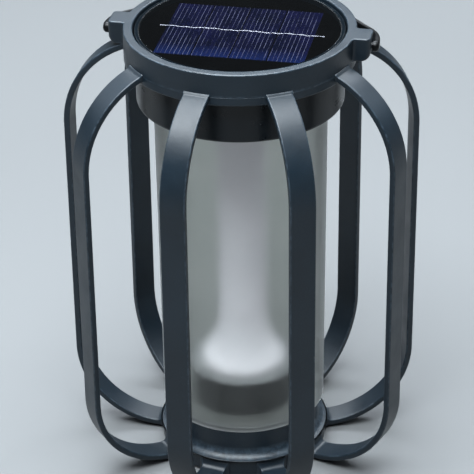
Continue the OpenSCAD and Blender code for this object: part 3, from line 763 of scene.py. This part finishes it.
def build_handle():
    """A flat band whose ends rise to the pivots, widen and end in bored ears."""
    band_t, band_h = 2.0 * MM, 5.4 * MM
    rise_end = 28 * MM
    wide_start, wide_end = 3 * MM, 12 * MM
    ear_r = 2.55 * MM
    ear_z = PIVOT_Z - 0.4 * MM  # the ears hang a little below the pins
    ear_out = handle_hi.x
    ear_in = ear_out - 3.1 * MM
    band_mid = handle_lo.z + band_h / 2
    half = handle_path()
    path = half + [((-p[0], p[1]), (-n[0], n[1])) for p, n in reversed(half[:-1])]
    rings, marks = [], []
    for p, n in path:
        rise = ease(1 - p[1] / rise_end)
        wide = min(max((wide_end - p[1]) / (wide_end - wide_start), 0.0), 1.0)
        thick = band_t + (ear_out - ear_in - band_t) * ease(wide)
        tall = band_h + (2 * ear_r - band_h) * rise
        middle = band_mid + (ear_z - band_mid) * rise
        points, edge = bar_section(thick / 2, tall / 2, (0.8 + 0.5 * wide) * MM)
        rings.append([(p[0] + n[0] * (u - thick / 2), p[1] + n[1] * (u - thick / 2), middle + v)
                      for u, v in points])
        marks.append(edge)
    band = Shape().add(*loft(rings, marks)).piece("handle_band", weighted=False)
    proud = 0.03 * MM  # the ears stand out of the band's ends by a little
    rim_r = ear_r + 2 * proud
    ear = revolve(outline([(0, ear_in - proud, 0), (rim_r, ear_in - proud, 0.4 * MM),
                           (rim_r, ear_out, 1.8 * MM), (0, ear_out, 0)], 10), 94)
    bore_r, bore_end, bore_start = 1.55 * MM, pins_hi.x + 0.2 * MM, ear_in - 1 * MM
    bore = revolve(outline([(0, bore_start, 0), (bore_r, bore_start, 0),
                            (bore_r, bore_end, 0), (0, bore_end, 0)]), 62)

    def lay_both(shell, z):
        turns = [Matrix.Rotation(sign * math.pi / 2, 4, "Y") for sign in (1, -1)]
        return [Shape().add(*shell, Matrix.Translation((0, 0, z)) @ turn)
                .piece("end", weighted=False) for turn in turns]

    return merge(band, lay_both(ear, ear_z), lay_both(bore, PIVOT_Z))


stand_in(build_handle(), "handle")


# ---------- solar module ----------

window_line = outline([(0, window_lo.z, 0), (window_hi.x, window_lo.z, 0.15 * MM),
                       (window_hi.x, window_hi.z, 0.3 * MM), (0, window_hi.z, 0)])
stand_in(Shape().add(*revolve(window_line, 384)).piece("window_pane"), "solar_window")


def post(hole_r, radius, low, top):
    """A round screw post with a hole, open at both ends."""
    return revolve(outline([(hole_r, low, 0), (radius, low, 0.2 * MM), (radius, top, 0),
                            (hole_r, top, 0)]), 32)


def build_housing():
    """Open-ended cup with a seat for the window, a seal groove and four screw posts."""
    out_r = housing_hi.x
    in_r = out_r - 2.3 * MM
    gap = 0.02 * MM
    seat_r = window_hi.x + gap
    ledge_r = window_hi.x - 4 * MM
    ledge_low = backing_lo.z - 2 * MM
    groove = 1 * MM + gap
    line = outline([
        (in_r, housing_lo.z, 0.3 * MM), (out_r, housing_lo.z, 1.7 * MM),
        (out_r, seal_lo.z - gap, 0), (out_r - groove, seal_lo.z - gap, 0),
        (out_r - groove, seal_hi.z + gap, 0), (out_r, seal_hi.z + gap, 0),
        (out_r, housing_hi.z, 0.6 * MM), (seat_r, housing_hi.z, 0.25 * MM),
        (seat_r, backing_lo.z, 0), (ledge_r, backing_lo.z, 0.2 * MM),
        (ledge_r, ledge_low, 0.2 * MM), (in_r, ledge_low, 0)], 8)
    shell = Shape().add(*revolve(line)).piece("housing_shell", weighted=False)
    cover_top, screw_circle = housing_lo.z + 4.5 * MM, 44.6 * MM
    one_post = post(1.02 * MM, 2.2 * MM, cover_top, ledge_low + SINK)
    return merge(shell, spread(one_post, screw_circle, (45, 135, 225, 315)), [])


stand_in(build_housing(), "module_housing")


def build_ribbon():
    """The tinned ribbon is not quite straight, and dips between its solder points."""
    steps = 240
    mid_y = (ribbon_lo.y + ribbon_hi.y) / 2
    half_w = (ribbon_hi.y - ribbon_lo.y) / 2 - 0.32 * MM
    rings, marks = [], []
    for x in np.linspace(ribbon_lo.x, ribbon_hi.x, steps):
        sway = 0.32 * MM * math.sin(x / (3.1 * MM)) + 0.2 * MM * math.sin(x / (1.1 * MM))
        pinch = half_w * (1 + 0.12 * math.sin(x / (0.9 * MM)))
        lift = 0.035 * MM * (1 + math.sin(2 * math.pi * x / FINGER_PITCH)) / 2
        points, edge = bar_section(pinch, 0.045 * MM, 0.04 * MM, 3)
        middle = ribbon_lo.z + 0.05 * MM + lift
        rings.append([(x, mid_y + sway + u, middle + v) for u, v in points])
        marks.append(edge)
    return make_piece("ribbon_strip", *loft(rings, marks), weighted=False)


stand_in(build_ribbon(), "cell_ribbon")


# ---------- diffuser, light guide and lamp base ----------

def build_tube():
    """The frosted tube: a slight taper, a floor, and a spigot below it in the base's neck."""
    wall, soft = 2 * MM, 0.3 * MM
    tube_r, foot_r = tube_hi.x, 40.8 * MM
    foot_z = base_hi.z
    floor_z = foot_z + wall
    spigot = NECK_IN - 0.3 * MM
    line = outline([
        (0, foot_z, 0), (spigot - wall, foot_z, 0), (spigot - wall, tube_lo.z, soft),
        (spigot, tube_lo.z, soft), (spigot, foot_z, 0), (foot_r, foot_z, 0.8 * MM),
        (tube_r, housing_lo.z, 0), (tube_r, tube_hi.z, soft),
        (tube_r - wall, tube_hi.z, soft), (tube_r - wall, housing_lo.z, 0),
        (foot_r - wall, floor_z, 0.8 * MM), (0, floor_z, 0)], 6)
    return Shape().add(*revolve(line, 256)).piece("frosted_tube")


stand_in(build_tube(), "diffuser_tube")


def build_guide():
    """A hollow column that flares out in an arc onto a short rim."""
    column, neck_bore = 11.6 * MM, 4 * MM
    flare_r = guide_hi.x
    skin = 1.6 * MM
    rim_top = guide_lo.z + 3 * MM
    rise, bend = 25 * MM, 39.5 * MM
    centre_r, centre_z = column + bend, rim_top + rise
    ceiling = rim_top - 0.6 * MM
    inner = bend + skin
    lean = math.degrees(math.asin(rise / bend))
    inner_lean = math.degrees(math.asin((centre_z - ceiling) / inner))
    points = [(flare_r - skin, guide_lo.z), (flare_r - 0.3 * MM, guide_lo.z),
              (flare_r, guide_lo.z + 0.3 * MM), (flare_r, rim_top - 0.3 * MM)]
    points += arc(centre_r, centre_z, bend, lean - 180, -180, 40)
    points += [(column, z) for z in np.linspace(centre_z + 8 * MM, guide_hi.z, 6)]
    points += [(neck_bore, guide_hi.z), (neck_bore, guide_hi.z - skin),
               (column - skin, guide_hi.z - skin)]
    points += arc(centre_r, centre_z, inner, -180, inner_lean - 180, 30)
    return Shape().add(*revolve((points, [0.0] * len(points)))).piece("opal_column")


stand_in(build_guide(), "light_guide")


def build_lamp_base():
    """An upturned cup with a cable hole and three screw posts."""
    out_r, cable_r, skin = lamp_hi.x, 5 * MM, 2 * MM
    in_r, ceiling = out_r - skin, lamp_hi.z - skin
    line = outline([(in_r, lamp_lo.z, 0), (out_r, lamp_lo.z, 0.4 * MM),
                    (out_r, lamp_hi.z, 1.5 * MM), (cable_r, lamp_hi.z, 0.3 * MM),
                    (cable_r, ceiling, 0), (in_r, ceiling, 0.5 * MM)], 8)
    cup = Shape().add(*revolve(line)).piece("lamp_cup", weighted=False)
    one_post, screw_circle = post(1.42 * MM, 3.6 * MM, lamp_lo.z, ceiling + SINK), 20 * MM
    return merge(cup, spread(one_post, screw_circle, (90, 210, 330)), [])


stand_in(build_lamp_base(), "lamp_base")


# ---------- carried-over CAD nodes ----------

for name, obj in nodes.items():
    if obj.hide_render:
        continue
    paint(obj, SLOT_OF[name])


# ---------- floor, light and camera ----------

def floor_material():
    """Plain pale grey, with a very slow drift in tone."""
    m = Material("floor_look")
    drift = m.span(m.noise(400 * MM, 2.0), 0.3, 0.7)
    tone = m.mix(drift, (0.128, 0.131, 0.132), (0.138, 0.141, 0.142))
    return m.surface(m.principled(color=tone, rough=0.7,
                                  normal=m.bump(m.noise(1.5 * MM), 0.03 * MM, 0.4)))


def build_floor():
    half = 4.0
    mesh = bpy.data.meshes.new("floor")
    mesh.from_pydata([(-half, -half, 0), (half, -half, 0), (half, half, 0), (-half, half, 0)],
                     [], [(0, 1, 2, 3)])
    obj = bpy.data.objects.new("floor", mesh)
    bpy.context.scene.collection.objects.link(obj)
    obj.data.materials.append(floor_material())


def area_light(name, place, target, size, power, color):
    data = bpy.data.lights.new(name, "AREA")
    data.shape = "RECTANGLE"
    data.size, data.size_y = size
    data.energy = power
    data.color = color
    obj = bpy.data.objects.new(name, data)
    obj.location = place
    obj.rotation_euler = (Vector(target) - Vector(place)).to_track_quat("-Z", "Y").to_euler()
    bpy.context.scene.collection.objects.link(obj)


def build_world():
    """Soft sky: bright overhead, dark where the window's mirror image comes from."""
    world = bpy.data.worlds.new("studio")
    bpy.context.scene.world = world
    world.use_nodes = True
    tree = world.node_tree
    coords = tree.nodes.new("ShaderNodeTexCoord")
    split = tree.nodes.new("ShaderNodeSeparateXYZ")
    tree.links.new(coords.outputs["Generated"], split.inputs[0])
    ramp = tree.nodes.new("ShaderNodeValToRGB")
    tree.links.new(split.outputs[2], ramp.inputs[0])
    stops = ramp.color_ramp.elements
    stops[0].position, stops[0].color = 0.0, (0.13, 0.14, 0.14, 1)
    stops[1].position, stops[1].color = 1.0, (0.95, 1.0, 1.06, 1)
    stops.new(0.55).color = (0.045, 0.055, 0.065, 1)
    tree.links.new(ramp.outputs[0], tree.nodes["Background"].inputs[0])
    tree.nodes["Background"].inputs[1].default_value = 0.8


build_floor()
build_world()
area_light("overhead", (-0.10, -0.30, 1.50), (0, 0, 0.1), (1.05, 1.25), 82, (0.86, 0.94, 1.0))
area_light("back_sky", (-0.10, 1.10, 1.45), (0, 0, 0.2), (1.8, 0.5), 46, (0.84, 0.92, 1.0))
area_light("left_box", (-1.30, 0.35, 1.05), (0, 0, 0.15), (0.9, 0.7), 4.5, (0.80, 0.90, 1.0))
area_light("right_box", (1.20, 0.75, 1.05), (0, 0, 0.15), (0.9, 0.7), 4.0, (0.80, 0.90, 1.0))


def build_camera():
    """A long lens, above and to the right of the lantern's front."""
    turn, rise, roll = math.radians(11.55), math.radians(29.77), math.radians(-0.74)
    distance, shift_x, shift_y = 1017.8 * MM, 2.6 * MM, 99.39 * MM
    right = Vector((math.cos(turn), math.sin(turn), 0))
    ahead = Vector((-math.sin(turn) * math.cos(rise), math.cos(turn) * math.cos(rise),
                    -math.sin(rise)))
    up = right.cross(ahead)
    place = Vector((0, 0, CAGE_H)) - ahead * distance - right * shift_x - up * shift_y
    c, s = math.cos(roll), math.sin(roll)
    axes = (right * c + up * s, up * c - right * s, -ahead)
    data = bpy.data.cameras.new("camera")
    data.lens = 164.85
    data.sensor_width = 36
    obj = bpy.data.objects.new("camera", data)
    matrix = Matrix(axes).transposed().to_4x4()
    matrix.translation = place
    obj.matrix_world = matrix
    bpy.context.scene.collection.objects.link(obj)
    bpy.context.scene.camera = obj


build_camera()
bpy.context.scene.view_settings.view_transform = "Standard"
